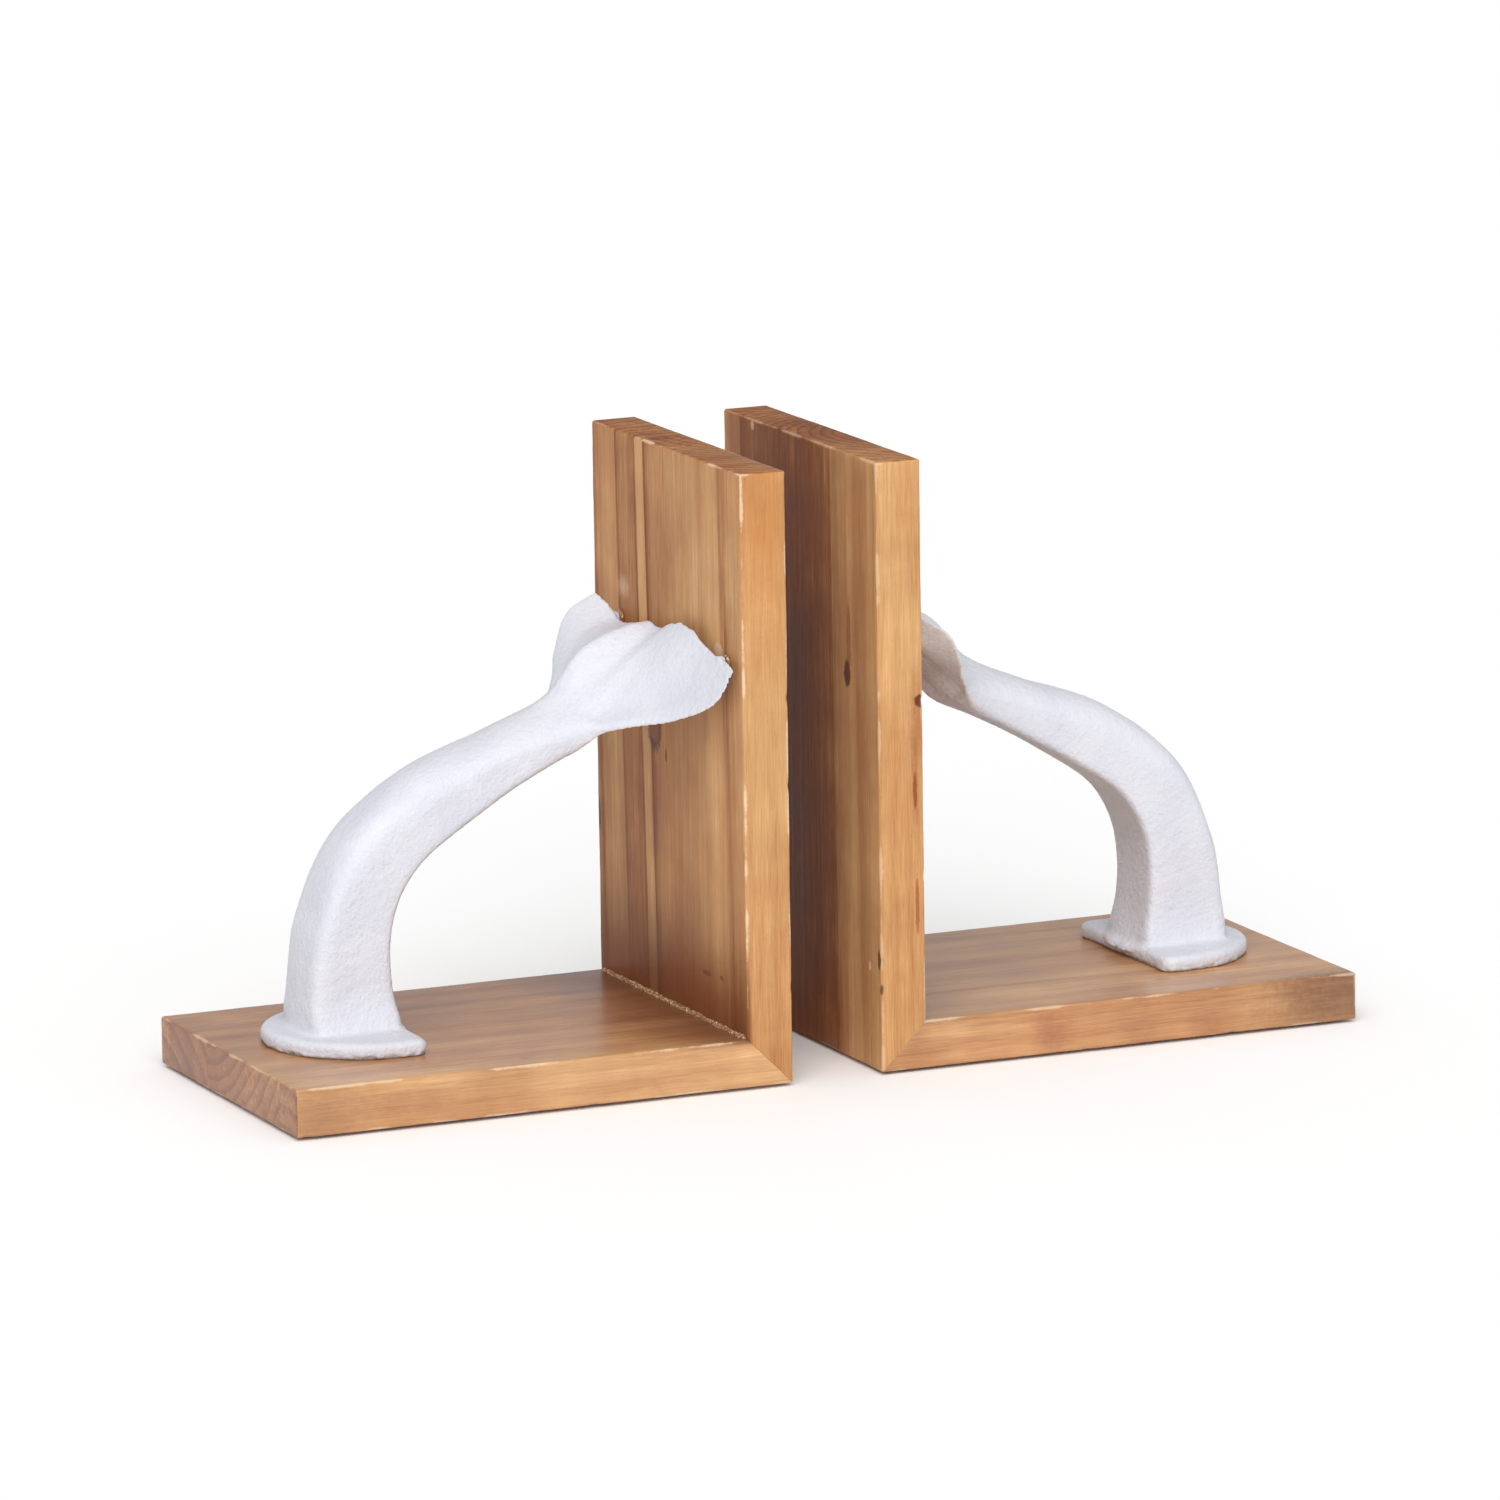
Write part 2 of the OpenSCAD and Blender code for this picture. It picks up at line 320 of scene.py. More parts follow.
# Side of the stock and then the leading edge of each fluke, at the same stations.
# Each is [x, distance from the middle, z], first for the low fluke and then for the high one.
EDGES = (
    (109.5, 16.5, 17.5, 109.5, 16.5, 17.5),
    (111, 13.5, 30.5, 111, 13.5, 30.5),
    (109.5, 13.5, 52.2, 109.5, 13.5, 52.2),
    (100, 13.5, 73, 100, 13.5, 73),
    (80.5, 13.5, 88.5, 80.5, 13.5, 88.5),
    (56.5, 13.5, 99.5, 56.5, 13.5, 99.5),
    (37.5, 15, 105.5, 38, 15.5, 107),
    (25, 25.5, 109.2, 28.5, 26, 114.5),
    (15, 39.5, 112.5, 22.5, 37.5, 121.5),
    (7, 52.5, 119.2, 15, 45, 132),
    (2.2, 57, 130.5, 5.5, 43.5, 138.2))
# Trailing edge against a straight line from notch to tip, at every eighth of the span:
# [rise of the low fluke, rise of the high fluke, lean of the high fluke to the upright]
LOBES = ((0, 0, 0), (2.2, -0.6, 1), (4.7, -1.8, 1.4), (6.2, -2.8, 1.6), (5.7, -4.5, 1.8),
         (2.9, -5.6, 2.2), (1.1, -5.4, 2.4), (0.5, -2, 2), (0, 0, 0))
LAST = len(SPINE) - 1
LOBE_FROM = 7.5        # the station from which the lobes grow
STOCK_HALF_W = 13.5
# Swellings grow and end smoothly: [station, stations that it takes]
FLUKES_GROW = (5.4, 1.8)
RIDGE_GROWS = (6, 1.5)
BULGE_ENDS = (9.9, 1.5)
VALLEY_ENDS = (10.3, 2)
HOLLOW_ENDS = (9.6, 1.5)
# Swellings of the flukes: [height, where, how wide]. Where and how wide are millimetres from the
# middle line for the first two and for the notch, and shares of the way to the tip for the others.
RIDGE = (1.5, 0, 2.8)
VALLEY = (-2.2, 6.8, 3.4)
HOLLOW = (-1.3, 0.72, 0.2)
BELLY_BULGE = (2.0, 0.5, 0.28)
NOTCH = ((0.8, 0, 3.6), (-0.7, 8.5, 3.5))
RING = 160             # points round the tail, and round its flange
RINGS = 120            # rings along the tail
RING_CROWDING = 1.15   # over 1, rings lie closer together near the foot
FOOT_FILLET = {"belly": 0.8, "crown": 1.6, "side": 2.6}
FILLET_SUNK = 0.3      # how far the fillet starts below the top of the flange
FILLET_UNTIL = 1.2     # the station past which no fillet reaches
# Edge of the flange: [height, inset]
RIM = ((0, 0.3), (0.4, 0), (3.2, 0), (4.1, 0.35), (4.7, 1), (5, 2.2))
VOXEL = 0.57
SMOOTHINGS = 3
LUMPS = ((0.16, 0.09), (0.07, 0.45), (0.07, 0.95))     # terms of the casting's unevenness
CALM_IN = 26           # nearer to the upright than this, the flukes are smoother
CALM = 0.25
RAGGED = 0.9           # most that the lower edge of the flange is eaten away
RAGGED_UP_TO = 1.7     # height above the base
RAGGED_FADE = 1.2
UNDERSIDE = 0.15       # lower than this the casting is flat on the base
BOSS_SIDES = 32
CLEARANCE = 0.15       # kept between the casting and the upright


def curve(table, u):
    """Catmull-Rom curve through the rows of a table, u counted in rows."""
    i = min(int(u), len(table) - 2)
    f = u - i
    a, b, c, d = (table[max(0, min(len(table) - 1, k))] for k in (i - 1, i, i + 1, i + 2))
    return [0.5 * (2 * q + (r - p) * f + (2 * p - 5 * q + 4 * r - s) * f * f
                   + (3 * q - p - 3 * r + s) * f ** 3) for p, q, r, s in zip(a, b, c, d)]


def swelling(shape, value):
    """Height of a swelling at the value."""
    height, centre, width = shape
    return height * hump(value, centre, width)


def grown(u, start, over):
    return fade((u - start) / over)


def ended(u, stop, over):
    return fade((stop - u) / over)


def relief(u, across, share, crown_side):
    """Height of the ridge, valleys and hollows on the flukes, in millimetres outwards."""
    flukes = grown(u, *FLUKES_GROW)
    if not crown_side:
        return flukes * swelling(BELLY_BULGE, share) * ended(u, *BULGE_ENDS)
    ridge = swelling(RIDGE, across) * grown(u, *RIDGE_GROWS)
    valley = swelling(VALLEY, across) * ended(u, *VALLEY_ENDS)
    hollow = swelling(HOLLOW, share) * ended(u, *HOLLOW_ENDS)
    return flukes * (ridge + valley + hollow)


def foot_flare(z, v, b):
    """How far the fillet above the flange stands out at height z, for a direction round the foot."""
    total = abs(v) + abs(b)
    radius = (abs(v) * FOOT_FILLET["side"]
              + abs(b) * FOOT_FILLET["crown" if b > 0 else "belly"]) / total
    rise = z - (board_t + FLANGE_T) + FILLET_SUNK
    if rise >= radius:
        return 0
    return radius - math.sqrt(max(0, radius ** 2 - (radius - max(0, rise)) ** 2))


def tail_point(u, angle):
    """One point of the tail. The high fluke is on the side of -y."""
    crown_x, crown_z, belly_x, belly_z, crown_square, belly_square, edge_t = curve(SPINE, u)
    square = crown_square if math.sin(angle) > 0 else belly_square
    size = (abs(math.cos(angle)) ** square + abs(math.sin(angle)) ** square) ** (1 / square)
    v = math.cos(angle) / size
    b = math.sin(angle) / size
    share = abs(v)
    edges = curve(EDGES, u)
    edge = edges[3:] if v < 0 else edges[:3]
    thick = math.hypot(crown_x - belly_x, crown_z - belly_z)
    normal = ((crown_x - belly_x) / thick, (crown_z - belly_z) / thick)
    middle = ((crown_x + belly_x) / 2, (crown_z + belly_z) / 2)
    off = fade((share * edge[1] - 3) / STOCK_HALF_W) * fade((edge[1] - STOCK_HALF_W) / 8)
    half_t = (thick * (1 - off) + edge_t * off) / 2
    height = b * (half_t + relief(u, share * edge[1], share, b > 0))
    tail_end = fade((u - LOBE_FROM) / (LAST - LOBE_FROM))
    lobes = curve(LOBES, min(0.9999, share) * (len(LOBES) - 1))
    rise, lean = (lobes[1], lobes[2]) if v < 0 else (lobes[0], 0)
    rise += sum(swelling(shape, share * edge[1]) for shape in NOTCH)
    x = middle[0] * (1 - share) + edge[0] * share - lean * tail_end
    z = middle[1] * (1 - share) + edge[2] * share + rise * tail_end
    point = Vector((board_t + x + height * normal[0], v * edge[1], z + height * normal[1]))
    if u < FILLET_UNTIL:
        outward = Vector((b, v, 0)).normalized()
        point += outward * foot_flare(point.z, v, b)
    return point


def ring_of(bm, count, place):
    """A closed ring of edges whose point i of the count lies at place(i)."""
    verts = bmesh.ops.create_circle(bm, cap_ends=False, segments=count, radius=1)["verts"]
    for i, vert in enumerate(verts):
        vert.co = place(i)
    return verts


def lofted(bm, count, places):
    """A closed skin from one ring to the next, with both ends capped."""
    verts = ring_of(bm, count, places[0])
    for place in places[1:]:
        ring = [bm.edges.get((verts[i], verts[(i + 1) % count])) for i in range(count)]
        made = bmesh.ops.extrude_edge_only(bm, edges=ring)["geom"]
        new = {v for v in made if isinstance(v, bmesh.types.BMVert)}
        following = []
        for vert in verts:
            partner = next(e.other_vert(vert) for e in vert.link_edges if e.other_vert(vert) in new)
            following.append(partner)
        for i, vert in enumerate(following):
            vert.co = place(i)
        verts = following
    bmesh.ops.holes_fill(bm, edges=[edge for edge in bm.edges if edge.is_boundary], sides=0)
    bmesh.ops.recalc_face_normals(bm, faces=bm.faces)


def flange_point(share, inset, z):
    """A point of the D-shaped outline, at a share of the way round, drawn in by the inset."""
    radius = FLANGE_R - inset
    corner = FLANGE_CORNER - inset * 0.5
    start_x = board_t + FLANGE_IN + inset
    centre_x = board_t + FLANGE_IN + CENTRE_IN
    side = centre_x - start_x - corner
    parts = (math.pi * radius, side, math.pi / 2 * corner, 2 * (radius - corner),
             math.pi / 2 * corner, side)
    run = share * sum(parts)
    k = 0
    while k < 5 and run > parts[k]:
        run -= parts[k]
        k += 1
    if k == 0:
        turn = run / radius - math.pi / 2
        return Vector((centre_x + radius * math.cos(turn), radius * math.sin(turn), z))
    if k == 1:
        return Vector((centre_x - run, radius, z))
    if k == 2:
        turn = run / corner
        return Vector((start_x + corner - corner * math.sin(turn),
                       radius - corner + corner * math.cos(turn), z))
    if k == 3:
        return Vector((start_x, radius - corner - run, z))
    if k == 4:
        turn = run / corner
        return Vector((start_x + corner - corner * math.cos(turn),
                       -radius + corner - corner * math.sin(turn), z))
    return Vector((start_x + corner + run, -radius, z))


def cast_tail(side):
    """The whole casting: arched stock, flukes, foot flange and bosses, blended as one skin."""
    bm = bmesh.new()
    spots = [LAST * (r / (RINGS - 1)) ** RING_CROWDING for r in range(RINGS)]
    lofted(bm, RING, [lambda i, u=u: tail_point(u, (i + 0.5) * 2 * math.pi / RING) for u in spots])
    lofted(bm, RING, [lambda i, h=h, inset=inset: flange_point(i / RING, inset, board_t + h)
                      for h, inset in RIM])
    for y, z, length in BOSSES:
        place = Matrix.Translation((board_t + DAB_T + length / 2, y, z))
        bmesh.ops.create_cone(bm, cap_ends=True, segments=BOSS_SIDES, radius1=BOSS_R, radius2=BOSS_R,
                              depth=length, matrix=place @ Matrix.Rotation(math.pi / 2, 4, "Y"))
    bm = with_modifier(bm, "REMESH", mode="VOXEL", voxel_size=VOXEL)
    for _ in range(SMOOTHINGS):
        bmesh.ops.smooth_vert(bm, verts=bm.verts, factor=0.5, use_axis_x=True, use_axis_y=True,
                              use_axis_z=True)
    bm.normal_update()
    seed = Vector((3, 8, 1)) if side == "left" else Vector((31, 5, 17))
    for vert in bm.verts:
        p = vert.co
        push = unevenness(p, LUMPS, seed) * (CALM if p.x < board_t + CALM_IN else 1)
        if p.z < board_t + UNDERSIDE:
            push = 0
        low_rim = fade((board_t + RAGGED_UP_TO - p.z) / RAGGED_FADE)
        if low_rim > 0 and abs(vert.normal.z) < 0.9:
            push -= RAGGED * low_rim * max(0, noise.noise(p * 0.35 + seed) + 0.25)
        vert.co += vert.normal * push
        vert.co.z = max(vert.co.z, board_t)
        vert.co.x = max(vert.co.x, board_t + CLEARANCE)
    bores = [(Matrix.Translation((SCREW_X, y, board_t)), BORE_R, 2 * BORE_DEEP)
             for y in (-SCREW_Y, SCREW_Y)]
    bm = drilled(bm, bores)
    for face in bm.faces:
        face.smooth = True
    return finished(bm, f"{side}_tail_casting", side, turned=True)


# -------------------- glue, pads

BEAD_R = 1.35
BEAD_STEPS = 150
BEAD_ARC = 7           # points on the round of the bead
BEAD_SHORT = 1.6       # how far the bead stops short of the board's faces
BEAD_SIZE = 0.72       # usual size, against BEAD_R, and how much it swells and how grainy it is
BEAD_SWELL = 0.35
BEAD_GRAIN = 0.3
DAB_R = 2.5
DAB_SPREAD = 0.4
DAB_FLATNESS = 0.35    # 1 would be round, 0 quite flat
PAD_EASE = 0.3
PAD_SIDES = 64
PAD_HAIRS = 0.02       # how far the rim is pulled in, against the radius


def glue_bead(side):
    """A crumbly quarter-round bead in the inner corner, thick here and thin there."""
    low = -half_d + BEAD_SHORT
    high = half_d - BEAD_SHORT
    seed = Vector((2, 9, 4)) if side == "left" else Vector((14, 3, 8))

    def place(y):
        def at(i):
            if i == 0:
                return Vector((board_t, y, board_t))
            turn = (i - 1) / (BEAD_ARC - 1) * math.pi / 2
            grain = noise.noise(Vector((i * 0.9, y * 0.9, 0)) + seed)
            swell = noise.noise(Vector((0, y * 0.12, 3)) + seed)
            size = BEAD_R * (BEAD_SIZE + BEAD_SWELL * swell + BEAD_GRAIN * grain)
            ends = min(1, (y - low + 0.3) / 2, (high - y + 0.3) / 2)
            size *= math.sqrt(max(0.05, ends))
            return Vector((board_t + size * math.cos(turn), y, board_t + size * math.sin(turn)))
        return at

    bm = bmesh.new()
    lofted(bm, BEAD_ARC + 1, [place(low + (high - low) * k / BEAD_STEPS)
                              for k in range(BEAD_STEPS + 1)])
    return finished(bm, f"{side}_corner_glue", side)


def glue_dabs(side):
    """The squashed drops of glue between the bosses and the upright."""
    bm = bmesh.new()
    for y, z, _ in BOSSES:
        place = Matrix.Translation((board_t + DAB_T / 2, y, z))
        made = bmesh.ops.create_uvsphere(bm, u_segments=28, v_segments=14, radius=1, matrix=place)
        for vert in made["verts"]:
            offset = vert.co - Vector((board_t + DAB_T / 2, y, z))
            spread = DAB_R + DAB_SPREAD * noise.noise(Vector((y, offset.y * 1.3, offset.z * 1.3)))
            flat = DAB_T / 2 * power(offset.x, DAB_FLATNESS)
            vert.co = Vector((board_t + DAB_T / 2 + flat, y + offset.y * spread,
                              z + offset.z * spread))
    return finished(bm, f"{side}_fluke_glue", side, turned=True)


def felt_pads(side):
    """Four round felt pads with a softened, slightly hairy rim."""
    bm = bmesh.new()
    for x in (pad_low.x - half_gap + PAD_R, pad_high.x - half_gap - PAD_R):
        for y in (pad_low.y + PAD_R, pad_high.y - PAD_R):
            made = bmesh.ops.create_cone(bm, cap_ends=True, segments=PAD_SIDES, radius1=PAD_R,
                                         radius2=PAD_R, depth=pad_t,
                                         matrix=Matrix.Translation((x, y, -pad_t / 2)))
            edges = {e for v in made["verts"] for e in v.link_edges if len(e.link_faces) == 2
                     and max(len(f.verts) for f in e.link_faces) > 4}
            bmesh.ops.bevel(bm, geom=list(edges), offset=PAD_EASE, segments=3, profile=0.5,
                            affect="EDGES", material=-1)
            for vert in bm.verts:
                arm = vert.co - Vector((x, y, vert.co.z))
                if PAD_R - 0.8 < arm.length < PAD_R + 0.5:
                    vert.co -= arm * PAD_HAIRS * (1 + noise.noise(vert.co * 2.3))
    return finished(bm, f"{side}_pads", side)


# -------------------- shading helpers

def srgb(red, green, blue):
    """A colour given as it looks on a screen, 0 to 255, as shader values."""
    parts = []
    for value in (red, green, blue):
        v = value / 255
        parts.append(v / 12.92 if v <= 0.04045 else ((v + 0.055) / 1.055) ** 2.4)
    return (*parts, 1)


class Finish:
    """A material under construction. Positions are in millimetres."""

    def __init__(self, name):
        self.material = bpy.data.materials.new(name)
        self.material.use_nodes = True
        self.tree = self.material.node_tree
        self.surface = self.tree.nodes["Principled BSDF"]
        coordinates = self.tree.nodes.new("ShaderNodeTexCoord")
        self.place = self.mapped(coordinates.outputs["Object"], scale=(1 / MM,) * 3)
        self.facing = coordinates.outputs["Normal"]

    def put(self, socket, value):
        if isinstance(value, bpy.types.NodeSocket):
            self.tree.links.new(value, socket)
        elif value is not None:
            socket.default_value = value

    def mapped(self, vector, location=(0, 0, 0), scale=(1, 1, 1), rotation=(0, 0, 0)):
        node = self.tree.nodes.new("ShaderNodeMapping")
        self.put(node.inputs["Vector"], vector)
        node.inputs["Location"].default_value = location
        node.inputs["Rotation"].default_value = rotation
        node.inputs["Scale"].default_value = scale
        return node.outputs["Vector"]

    def math(self, operation, a, b=None, clamp=False):
        node = self.tree.nodes.new("ShaderNodeMath")
        node.operation = operation
        node.use_clamp = clamp
        self.put(node.inputs[0], a)
        self.put(node.inputs[1], b)
        return node.outputs[0]

    def add(self, *values):
        total = values[0]
        for value in values[1:]:
            total = self.math("ADD", total, value)
        return total

    def times(self, a, b):
        return self.math("MULTIPLY", a, b)

    def less(self, a, b):
        return self.math("SUBTRACT", a, b)

    def size(self, value):
        return self.math("ABSOLUTE", value)

    def split(self, vector):
        node = self.tree.nodes.new("ShaderNodeSeparateXYZ")
        self.put(node.inputs[0], vector)
        return node.outputs

    def joined(self, x, y, z):
        node = self.tree.nodes.new("ShaderNodeCombineXYZ")
        for socket, value in zip(node.inputs, (x, y, z)):
            self.put(socket, value)
        return node.outputs[0]

    def length(self, vector):
        node = self.tree.nodes.new("ShaderNodeVectorMath")
        node.operation = "LENGTH"
        self.put(node.inputs[0], vector)
        return node.outputs["Value"]

    def step(self, value, start, stop, low=0.0, high=1.0):
        """A smooth step of the value, from low at start to high at stop."""
        node = self.tree.nodes.new("ShaderNodeMapRange")
        node.interpolation_type = "SMOOTHSTEP"
        for key, number in zip(("Value", "From Min", "From Max", "To Min", "To Max"),
                               (value, start, stop, low, high)):
            self.put(node.inputs[key], number)
        return node.outputs["Result"]

    def noise(self, vector, scale, detail=2.0, roughness=0.5, distortion=0.0):
        node = self.tree.nodes.new("ShaderNodeTexNoise")
        self.put(node.inputs["Vector"], vector)
        node.inputs["Scale"].default_value = scale
        node.inputs["Detail"].default_value = detail
        node.inputs["Roughness"].default_value = roughness
        node.inputs["Distortion"].default_value = distortion
        return node.outputs["Fac"]

    def around(self, vector, scale, amount, **options):
        """Noise between minus and plus the amount."""
        return self.times(self.less(self.noise(vector, scale, **options), 0.5), 2 * amount)

    def ramp(self, value, stops, interpolation="EASE"):
        node = self.tree.nodes.new("ShaderNodeValToRGB")
        node.color_ramp.interpolation = interpolation
        self.put(node.inputs[0], value)
        elements = node.color_ramp.elements
        while len(elements) < len(stops):
            elements.new(0.5)
        for element, (place, colour) in zip(elements, stops):
            element.position = place
            element.color = colour if isinstance(colour, tuple) else (colour, colour, colour, 1)
        return node.outputs["Color"]

    def mix(self, share, a, b, blend="MIX"):
        node = self.tree.nodes.new("ShaderNodeMix")
        node.data_type = "RGBA"
        node.blend_type = blend
        self.put(node.inputs[0], share)
        self.put(node.inputs[6], a)
        self.put(node.inputs[7], b)
        return node.outputs[2]

    def spot(self, centre, radii, soft, rough=0.35, scale=0.6):
        """1 inside an uneven ellipsoid, 0 outside it, with a clear or a soft edge."""
        inside = self.mapped(self.place, location=[-c / r for c, r in zip(centre, radii)],
                             scale=[1 / r for r in radii])
        away = self.add(self.length(inside), self.around(self.place, scale, rough))
        return self.step(away, 1.45, 0.0) if soft else self.step(away, 1.15, 0.7)

    def bump(self, height, distance, strength=1.0):
        node = self.tree.nodes.new("ShaderNodeBump")
        node.inputs["Strength"].default_value = strength
        node.inputs["Distance"].default_value = distance
        self.put(node.inputs["Height"], height)
        self.tree.links.new(node.outputs["Normal"], self.surface.inputs["Normal"])

    def finish(self, colour, roughness, sockets=()):
        self.put(self.surface.inputs["Base Color"], colour)
        self.put(self.surface.inputs["Roughness"], roughness)
        for name, value in dict(sockets).items():
            self.surface.inputs[name].default_value = value
        return self.material


# -------------------- stained pine

STAIN = ((0.0, srgb(80, 38, 18)), (0.3, srgb(142, 86, 49)), (0.55, srgb(180, 131, 86)),
         (0.8, srgb(208, 163, 112)), (1.0, srgb(230, 193, 146)))
WORN_WOOD = srgb(240, 218, 188)
END_TONE = 0.36        # tone that the ends of a board tend to
DARK_KNOT = srgb(74, 40, 26)
RED_STREAK = srgb(140, 66, 36)
PALE_SMEAR = srgb(222, 190, 160)
BARK = srgb(62, 50, 46)
DEEP_STAIN = srgb(88, 46, 22)
# darker stain with painted shade, for the inner corner
POOLED_STAIN_AND_SHADE = srgb(104, 56, 30)
WARM_TINT = srgb(255, 214, 186)
SOFT_BELOW = 0.5       # marks weaker than this fade out without a clear edge

# Where the heart of the log of each stave lies: (across, through the board)
HEARTS = ((-78, 40), (16, -34), (96, 30), (-40, -60), (20, 52), (70, -44),
          (-90, -30), (-10, 46), (88, 50), (-66, 40), (14, -30), (84, 36))
RING_WIDTHS = (4.4, 3.6, 5.2)           # front, middle and back stave
BASE_RINGS = 1.35                       # the rings of a base are this much wider
STAVE_TONES = (0.02, 0.0, -0.02)
# How far the grain strays across a board for each millimetre along it, about a point on its way
STRAY = {"left_upright": 0.034, "right_upright": 0.012, "left_base": 0.02, "right_base": -0.03}
STRAY_ABOUT = 95
# How pale the worn edges are, and how dark the pooled stain and painted shade in the inner corner
WORN_SHARE = {"left_upright": 0.58, "right_upright": 0.32, "left_base": 0.45, "right_base": 0.4}
POOL_AND_SHADE_SHARE = {"left": 0.8, "right": 0.3}

# Tone across each board, from back to front: (y, tone), 0 dark and 1 pale, with painted shade in some of
# them
TONES_AND_SHADE = {
    "left_upright": ((57.5, 0.48), (54, 0.40), (51, 0.56), (41, 0.62), (37, 0.56), (35.8, 0.30),
                     (34.2, 0.44), (28, 0.50), (23, 0.46), (21.3, 0.34), (20.2, 0.76), (14.6, 0.78),
                     (13.6, 0.26), (12, 0.42), (9, 0.54), (-3, 0.54), (-14, 0.60), (-24, 0.68),
                     (-29, 0.60), (-34, 0.74), (-41, 0.68), (-43.6, 0.46), (-46, 0.42), (-50, 0.58),
                     (-54, 0.60), (-56.5, 0.65), (-57.5, 0.65)),
    # painted shade: the right upright's middle and back are kept dark for the gap between the book ends
    "right_upright": ((57.5, 0.58), (50, 0.46), (44, 0.48), (43, 0.26), (38, 0.28), (20, 0.22),
                      (5, 0.26), (-10, 0.26), (-20, 0.34), (-24.2, 0.30), (-25, 0.46), (-32, 0.56),
                      (-38, 0.68), (-44, 0.54), (-50, 0.62), (-56.5, 0.64), (-57.5, 0.64)),
    "left_base": ((57.5, 0.52), (48, 0.44), (40, 0.50), (30, 0.40), (26, 0.56), (17.5, 0.46),
                  (8, 0.58), (2, 0.48), (-6, 0.56), (-14, 0.46), (-22, 0.60), (-30, 0.50),
                  (-38, 0.58), (-44, 0.56), (-56.5, 0.65), (-57.5, 0.65)),
    "right_base": ((57.5, 0.56), (45, 0.50), (38, 0.60), (30, 0.52), (20, 0.60), (12, 0.50),
                   (0, 0.58), (-8, 0.54), (-20, 0.62), (-25, 0.50), (-34, 0.62), (-42, 0.56),
                   (-50, 0.60), (-56.5, 0.54), (-57.5, 0.54)),
}
# Marks on each board: (colour, strength, centre, half sizes) in the frame's millimetres
MARKS = {
    "left_upright": (
        (RED_STREAK, 0.45, (-30, 12.5, 78), (9, 3.2, 26)),
        (DARK_KNOT, 0.75, (-30, 11, 101), (8, 5.6, 7.2)),
        (srgb(150, 92, 60), 0.7, (-30, 11.4, 101), (8, 3.4, 4.4)),
        (DARK_KNOT, 0.7, (-30, 2.5, 94), (3, 0.7, 2.2)),
        (BARK, 0.85, (-30, 57, 66), (2.4, 1.8, 6.4)),
        (PALE_SMEAR, 0.45, (-30, 34, 142), (2, 5, 3.6)),
        (PALE_SMEAR, 0.7, (-30, -39.5, 134), (2, 3.4, 2.6)),
        (DARK_KNOT, 0.5, (-30, -27, 31), (2, 3.4, 0.9)),
        (DARK_KNOT, 0.5, (-30, -38, 31.5), (2, 1.6, 0.8)),
        (RED_STREAK, 0.42, (-30, -22, 22), (4, 32, 16)),
        (RED_STREAK, 0.42, (-30, 40, 20), (4, 20, 12)),
        (srgb(186, 116, 58), 0.45, (-22, -57.5, 172), (12, 5, 40))),
    "right_upright": (
        (DARK_KNOT, 0.9, (15, -34.7, 122), (4, 2.6, 4.4)),
        (RED_STREAK, 0.5, (15, -36, 132), (4, 1.6, 14)),
        (PALE_SMEAR, 0.6, (15, 35, 189), (2, 1.4, 1.6)),
        (BARK, 0.8, (15, -55.8, 36), (1.2, 1.0, 3.6)),
        (BARK, 0.7, (15, -57, 27), (1, 0.8, 1.8)),
        (PALE_SMEAR, 0.7, (15, -49, 33), (1.6, 1, 1.6)),
        (DARK_KNOT, 0.95, (29.2, -57.5, 116), (2.2, 3, 2.2)),
        (RED_STREAK, 0.45, (28.2, -57.5, 110), (2.6, 4, 16)),
        (RED_STREAK, 0.45, (27.2, -57.5, 92), (1.1, 3, 20)),
        (RED_STREAK, 0.75, (27, -57.5, 88), (0.7, 3, 6)),
        (RED_STREAK, 0.6, (27.4, -57.5, 52), (0.7, 3, 10))),
    "left_base": (
        (RED_STREAK, 0.30, (-142, -57.5, 9), (18, 6, 4)),
        (DEEP_STAIN, 0.30, (-170, -57.5, 8), (16, 6, 10)),
        (RED_STREAK, 0.20, (-70, -57.5, 6), (24, 6, 3.5)),
        (DARK_KNOT, 0.4, (-100, -49, 16), (2.6, 1.2, 2))),
    "right_base": (
        (RED_STREAK, 0.48, (72, -57.5, 8), (7, 4, 7)),
        (DEEP_STAIN, 0.49, (178, -57.5, 9), (34, 9, 16)),
        (DEEP_STAIN, 0.45, (172, -57.5, 12), (22, 8, 9)),
        (DARK_KNOT, 0.35, (120, -38, 16), (3, 1, 2))),
}


